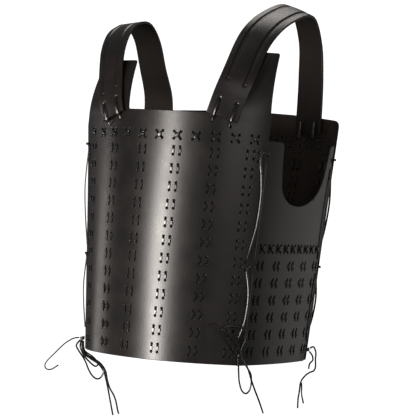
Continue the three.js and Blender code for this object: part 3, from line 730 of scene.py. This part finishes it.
# Thongs: flat lace leather cut in three widths. Two broad ones tie each strap down in front and two plain
# ones behind; others lash the corners together, run down both sides of each seam, and end in a narrow bow.
thong_width, strap_thong_width, bow_thong_width, thong_thickness = 3.6, 5.4, 2.8, 1.4
thong_section = np.array([
    [1, 0], [0.92, 0.6], [0.7, 0.95], [0, 1.05], [-0.7, 0.95], [-0.92, 0.6],
    [-1, 0], [-0.92, -0.6], [-0.7, -0.95], [0, -1], [0.7, -0.95], [0.92, -0.6]])
thong_step = 1.6
fewest_stations = 12


def thong(name, node, route, facing, wide=thong_width, twist=(0, 0)):
    """A flat lace through route. Its face looks along facing, and turns from there by twist, given in degrees
    at evenly spaced places along it; wide may be such a list too. Returns the piece and its middle line."""
    route, facing = np.asarray(route, float), np.asarray(facing, float)
    count = max(fewest_stations, int(even_parameters(route, 2)[1] / thong_step))
    t, _ = even_parameters(route, count)
    middle, along = smooth_line(route, t)
    face = smooth_line(facing, t)[0]
    face = unit(face - along * (face * along).sum(1, keepdims=True))
    across = np.cross(along, face)
    along_it = np.linspace(0, 1, count)
    turn = np.radians(np.interp(along_it, np.linspace(0, 1, len(twist)), twist))[:, None]
    cos, sin = np.cos(turn), np.sin(turn)
    across, face = across * cos + face * sin, face * cos - across * sin
    wide = np.atleast_1d(wide).astype(float)
    across = across * np.interp(along_it, np.linspace(0, 1, len(wide)), wide)[:, None] / 2
    width = across[:, None] * thong_section[:, :1]
    rise = face[:, None] * thong_section[:, 1:] * thong_thickness / 2
    points = (middle[:, None] + width + rise).reshape(-1, 3)
    ring = len(thong_section)
    faces = skin_faces(count, ring).tolist() + end_faces(count, ring)
    piece = new_piece(name, points, faces, [thong_leather], smooth_angle=50)
    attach(piece, "root")
    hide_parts(node)
    return piece, middle * mm


# Strap laces. Rows are the distance up the strap from its end and the height above its middle: out of the
# hole, in an arch over the strap's end, and down through the panel. The widths taper at both holes
gap, slack = 0.3, 0.15
lie = strap_thick_half + gap + thong_thickness / 2 + slack
rear_lie = -lie - 0.4
strap_lace = [
    (tie_up + 1.5, lie - 2.4), (tie_up - 1, lie + 0.5), (tie_up / 2, lie + 2.2), (3, lie + 1.3),
    (-1.9, lie - 0.2), (-4.6, 0.6), (-9, -1.6)]
strap_lace_widths = (2.6, 4.6, strap_thong_width, strap_thong_width, strap_thong_width, 4.4)
strap_lace_turn = -22
rear_lace = [(-20, rear_lie), (-10, rear_lie), (-1, rear_lie), (6, rear_lie - 0.2)]
for hand, line in strap_lines.items():
    outer = 1 if hand == "left" else -1
    for side, across in (("inner", -outer * tie_across), ("outer", outer * tie_across)):
        u, out = np.array(strap_lace).T
        route = line.at(u, across, out)
        facing = line.at(u, across, 1) - line.at(u, across, 0)
        piece, middle = thong(
            f"strap_lace_{hand}_{side}", f"strap_thong_{hand}_{side}", route, facing,
            wide=strap_lace_widths, twist=[outer * strap_lace_turn] * 2)
        u, out = np.array(rear_lace).T + [[line.length], [0]]
        route = line.at(u, across, out)
        facing = line.at(u, across, -1) - line.at(u, across, 0)
        thong(f"rear_lace_{hand}_{side}", f"rear_thong_{hand}_{side}", route, facing)

# Seam laces. Rows are panel, distance in from its edge, height, and distance out from the wall's middle; at a
# bend row the lace turns round the corner's edge
tie_z = (-213, -382, -511)
lie_out = wall_mm / 2 + gap + thong_thickness / 2 + slack
corners = {
    f"{end}_{hand}": {
        "main": main, "side": side, "hand": sign, "half": half, "narrow": narrow, "rear": end == "back"}
    for end, main, half, narrow in (
        ("front", on_front, front_half, front_narrow), ("back", on_back, back_half, 0))
    for hand, side, sign in (("left", on_left, 1), ("right", on_right, -1))
}


def lashing(top, bottom):
    """Out of the side panel, across the corner's edge and down the face of the front or back panel."""
    fall = bottom - top
    return [
        ("side", 9.4, top - 1, lie_out), ("bend", 5.4, top, lie_out + 1.3), ("edge", 3.9, top, 0.4),
        ("main", 0.5, top, lie_out + 1.2), ("main", 6, top, lie_out + 0.7),
        ("main", 8.5, top - 6, lie_out + 0.4), ("main", 5, top + fall * 0.2, lie_out + 1.6),
        ("main", 2, top + fall * 0.4, lie_out + 3.2),
        ("main", 3, top + fall * 0.65, lie_out + 2.4), ("main", 10, bottom + 9, lie_out)]


def side_run(top, bottom):
    """Down the side panel beside the seam, slack between its two tie holes."""
    fall = bottom - top
    return [
        ("side", 9, top - 15, lie_out), ("side", 8.6, top + fall * 0.25, lie_out + 0.8),
        ("side", 8.4, top + fall * 0.5, lie_out + 1.4),
        ("side", 8.6, top + fall * 0.75, lie_out + 0.8), ("side", 9, bottom + 8, lie_out)]


rear_near = 0.4          # on the side panels the rear laces lie closer to the edge than the front ones


def corner_point(corner, row):
    """The point of a row of a lacing table; an edge row lies past the panel's own edge."""
    panel_name, inward, z, out = row
    if panel_name in ("side", "bend"):
        return corner["side"](side_width - inward * rear_near if corner["rear"] else inward, z, out)
    past = -inward if panel_name == "edge" else inward
    edge = corner["half"] * (1 - corner["narrow"] * drop(z))
    return corner["main"](corner["hand"] * (edge - past), z, out)


def facing_of(corner, row):
    """The direction away from the leather at a row: past an edge row's edge, and otherwise out of its wall,
    which a bend row turns half way towards the direction away from the corner's edge."""
    panel_name, inward, z, out = row
    further, higher = (1, 0) if panel_name == "edge" else (0, 1)
    here = corner_point(corner, row)
    away = corner_point(corner, (panel_name, inward + further, z, out + higher)) - here
    if panel_name == "bend":
        away += unit(here - corner_point(corner, ("edge", 0, z, 0)))
    return away


loose_twist = (0, -5, -32, -40, -36, -40, -32, -10)   # the slack runs of the front left seam turn forwards
for corner_name, corner in corners.items():
    runs = [
        ("seam", "upper", lashing(tie_z[0], tie_z[1])), ("seam", "lower", lashing(tie_z[1] - 4, tie_z[2])),
        ("side", "upper", side_run(tie_z[0], tie_z[1])), ("side", "lower", side_run(tie_z[1], tie_z[2]))]
    for kind, where, rows in runs:
        route = np.array([corner_point(corner, row) for row in rows])
        facing = np.array([facing_of(corner, row) for row in rows])
        turned = loose_twist if kind == "seam" and corner_name == "front_left" else (0, 0)
        piece, middle = thong(f"{kind}_lace_{corner_name}_{where}", f"{kind}_thong_{corner_name}_{where}",
                              route, facing, twist=turned)

# Bows at the hem. Rows are across, up and out in millimetres from the knot, in a plane that faces the same
# way as the picture; a loop also ends at the knot
knot_z, knot_inward, knot_out, knot_radius, knot_reach = -519.5, 5, 6.1, 4.3, 4.95
bow_turn = math.radians(26.35)
upright = np.array([0, 0, 1.0])
bows = {
    "front_right": {
        "tail_curl": [
            (-5.4, 0.5, 0), (-12.8, -1, 1), (-19.9, -4.9, 2), (-27.6, -10.8, 3), (-42.7, -27.4, 4),
            (-53.9, -40.6, 4), (-56, -46.5, 4), (-54.4, -51.1, 4), (-49.1, -52.8, 4), (-44.3, -51.4, 4),
            (-34.8, -44.6, 4)],
        "loop_long": [
            (-4.2, -3.8, 3), (-8.6, -11.9, 4.6), (-6.3, -17, 5), (6, -34, 5), (13.6, -49.3, 5),
            (18.8, -57, 5), (24, -61.4, 5), (29, -62.3, 5), (33.5, -59.2, 5), (37, -50, 5),
            (34.2, -42.2, 5), (22.3, -34.2, 5.6), (4.9, -25, 7.4), (-2, -14.1, 7.4), (-1.8, -4.4, 4.6)],
        "loop_short": [
            (-2.6, -5.4, -2), (-2.6, -14, -2.2), (5, -29, -2.4), (14.4, -38, -2.4), (21.2, -43, -2.4),
            (24.6, -43.4, -2.6), (27, -39, -3.4), (18, -29, -4.8), (6, -21.5, -4.8), (0.2, -14, -4.4),
            (-0.8, -5, -5)],
        "tail_a": [
            (-0.2, -5.9, 0), (0.6, -14, 0), (6, -25, 0), (16, -32.5, 0), (28, -39.6, 0), (37.1, -50.9, 0),
            (41, -62, 0), (44.2, -73.1, 0), (49.8, -95.3, 0), (54, -111.7, 0), (55.7, -118.4, 0)],
        "tail_b": [
            (2.4, -5.3, 1.8), (2.8, -13, 3.4), (7, -24, 2.8), (19, -31, 2.4), (31, -38, 2.4),
            (40, -50, 2.4), (43.4, -63, 2.4), (48.4, -76.2, 2.4), (55.1, -86.6, 2.4), (58.7, -94.6, 2.4),
            (62.9, -110.1, 2.4), (64.8, -115.6, 2.4)],
    },
    "front_left": {
        "loop_up": [
            (-0.4, 5.2, 1.6), (-2.6, 14, 4), (-9, 22, 7), (-18.5, 28.5, 9), (-27.2, 34.6, 11),
            (-28, 39.4, 11.5), (-22.5, 42.4, 10.5), (-13.1, 44.1, 9), (-2.7, 42.8, 7), (5.4, 38.6, 5.5),
            (8.7, 32, 4.5), (7.9, 22.6, 3.4), (4, 13, 2), (2.8, 5, 1)],
        "tail_side": [
            (-5.4, 2.6, 3.2), (-14, 16, 8.5), (-23, 26, 13.5), (-31.5, 36.5, 17.5), (-36, 44.6, 19),
            (-42, 47.2, 20.5), (-51.4, 44.3, 23)],
        "loop_down": [
            (-1.4, -5, 0), (0.4, -26.6, 0), (2.5, -41.4, 0), (7.9, -54.5, 0), (13.4, -57.2, 0),
            (18.2, -52.4, 0), (20.2, -37.3, 0), (18.6, -27, 0), (12, -17, 0), (3.4, -4.6, 0)],
        "tail_long": [
            (3.4, -3.4, 3), (12.9, -17.3, 3.4), (20.1, -35.9, 3.4), (25.5, -48.9, 2), (34.1, -67.8, 1),
            (41.3, -85.3, 0)],
    },
    "back": {
        "band": [
            (4.4, 2.6, 0.4), (9.2, 5.2, 1), (13.6, -2.6, 2), (13.8, -15.1, 3), (14.6, -27.2, 3),
            (12.4, -33, 3), (6.5, -36, 3), (0.7, -40.2, 3), (-5.7, -48.5, 3), (-8, -55.6, 3),
            (-8.6, -66.1, 3), (-9.9, -79.4, 3), (-9.8, -94.8, 3)],
        "loop": [(4.2, -3.4, -2), (9.2, -10.5, -1.5), (9.6, -17, -1), (5.2, -22.5, 0), (4, -31, 0)],
        "tail_side": [(-6, -53.6, 0.6), (-5.2, -62, 0.6), (-4.6, -72, 0.6), (-0.7, -86.8, 0.6)],
    },
}
short_hang = 0.4         # the wearer's right rear bow hangs this share of what the left one does
wrap_turns, wrap_stations, wrap_rise, wrap_ripple = 2.15, 34, 1.9, 0.5
wrap_across, wrap_deep, wrap_end_size = 3.1, 2.5, 0.82
# How the strips turn about their own length, in degrees at even places along them
bow_twists = {
    "tail_curl": (50, 62, 66, 70, 60), "loop_long": (10, 40, 20, 55, 15), "loop_short": (30, 0, 40, 20),
    "tail_a": (0, 25, 0, 35, 10), "tail_b": (10, 0, 40, 10, 30), "loop_up": (20, 45, 20, 50, 10),
    "tail_side": (20, 50, 30), "loop_down": (0, 40, 10, 30), "tail_long": (0, 30, 10, 45),
    "band": (0, 20, 0, 30, 0, 20), "loop": (0, 30, 0)}


def against_knot(rows):
    """Rows near the knot, drawn in along their own direction until they touch it."""
    rows = np.array(rows, float)
    away = np.linalg.norm(rows, axis=1, keepdims=True)
    return np.where(away < 2 * knot_radius, rows * knot_reach / away, rows)


def tie_knot(name, node, centre, across, outward):
    """The knot: a lace wound twice round the bow's middle, a helix of elliptical turns with smaller ends."""
    done = np.linspace(0, 1, wrap_stations)[:, None]
    turn = done * wrap_turns * 2 * np.pi
    rise = (2 * done - 1) * wrap_rise + wrap_ripple * np.cos(turn)
    size = wrap_end_size + (1 - wrap_end_size) * np.sin(done * np.pi)
    ring = across * np.cos(turn) * wrap_across + outward * np.sin(turn) * wrap_deep
    route = centre + ring * size + upright * rise
    thong(name, node, route, ring, bow_thong_width)


for corner_name, corner in corners.items():
    mirror = -1 if corner_name == "back_right" else 1
    centre = corner_point(corner, ("main", knot_inward, knot_z, knot_out))
    across = np.array([math.cos(bow_turn) * mirror, math.sin(bow_turn), 0])
    outward = np.array([math.sin(bow_turn) * mirror, -math.cos(bow_turn), 0])
    tie_knot(f"bow_knot_{corner_name}", f"knot_{corner_name}", centre, across, outward)
    hang = short_hang if corner_name == "back_right" else 1
    for part, rows in bows["back" if corner["rear"] else corner_name].items():
        rows = against_knot(np.array(rows) * [1, hang, 1])
        route = centre + rows[:, :1] * across + rows[:, 2:] * outward + rows[:, 1:2] * upright
        facing = np.repeat(outward[None], len(rows), 0)
        piece, middle = thong(f"bow_{part}_{corner_name}", f"{part}_{corner_name}", route, facing,
                              bow_thong_width, bow_twists[part])


# Studio: a round pale table under the hanging hem, and a white surround that lights the armour dimly. One
# tall narrow light draws the long highlight down the front, and another marks its right corner. Four broad
# ones stand behind and before the left side and above the front and the back.
table_z, table_radius, table_thick, table_sides = -720, 380, 20, 96
rim = np.insert(circle_of(table_sides) * table_radius, 2, table_z, 1)
below = rim - [0, 0, table_thick]
table_faces = [list(range(table_sides)), list(range(table_sides, 2 * table_sides))[::-1]]
table_faces += skin_faces(2, table_sides)[:, ::-1].tolist()
matt_white = bpy.data.materials.new("matt_white_table")
matt_white.use_nodes = True
table_shader = matt_white.node_tree.nodes["Principled BSDF"]
table_shader.inputs["Base Color"].default_value = colour("#f4f3f1")
table_shader.inputs["Roughness"].default_value = 0.9
table = new_piece("table", np.concatenate([rim, below]), table_faces, [matt_white])

surround_white = "#ffffff"
surround_glow = 1.15
room_tone = "#eeeef0"
room_glow = 0.12
scene.view_settings.view_transform = "Standard"
world = bpy.data.worlds.new("white_surround")
world.use_nodes = True
world_tree = world.node_tree
world_tree.nodes.clear()
seen = add_node(world_tree, "ShaderNodeLightPath").outputs["Is Camera Ray"]
dim = add_node(world_tree, "ShaderNodeBackground", {"Color": colour(room_tone), "Strength": room_glow})
bright = add_node(world_tree, "ShaderNodeBackground", {
    "Color": colour(surround_white), "Strength": surround_glow})
surround = add_node(world_tree, "ShaderNodeMixShader", {
    0: seen, 1: dim.outputs["Background"], 2: bright.outputs["Background"]})
add_node(world_tree, "ShaderNodeOutputWorld", {"Surface": surround.outputs["Shader"]})
scene.world = world

# Lights. Rows are name, azimuth in degrees from the front (positive to the wearer's left), height, distance,
# width, length and power
lights = [
    ("front_strip", -16, -0.5, 2.5, 0.28, 1.0, 46), ("right_strip", -80, -0.7, 2.5, 0.3, 1.1, 5.5),
    ("rear_fill", 143, -0.2, 2.5, 1.6, 1.6, 3), ("left_fill", 42, 0.15, 2.5, 1.2, 0.8, 4),
    ("top_fill", 20, 2.2, 0.9, 1.2, 1.2, 1.8), ("back_fill", -165, 2.2, 1.8, 1.4, 1.4, 14),
]
light_tint = "#fff8f2"
light_aim = Vector((0, 0, -0.33))
for name, azimuth, height, distance, width, tall, power in lights:
    data = bpy.data.lights.new(name, "AREA")
    data.shape = "RECTANGLE"
    data.size, data.size_y = width, tall
    data.energy = power
    data.color = colour(light_tint)[:3]
    light = bpy.data.objects.new(name, data)
    angle = math.radians(azimuth)
    light.location = Vector((math.sin(angle) * distance, -math.cos(angle) * distance, height))
    light.rotation_euler = (light_aim - light.location).to_track_quat("-Z", "Y").to_euler()
    scene.collection.objects.link(light)
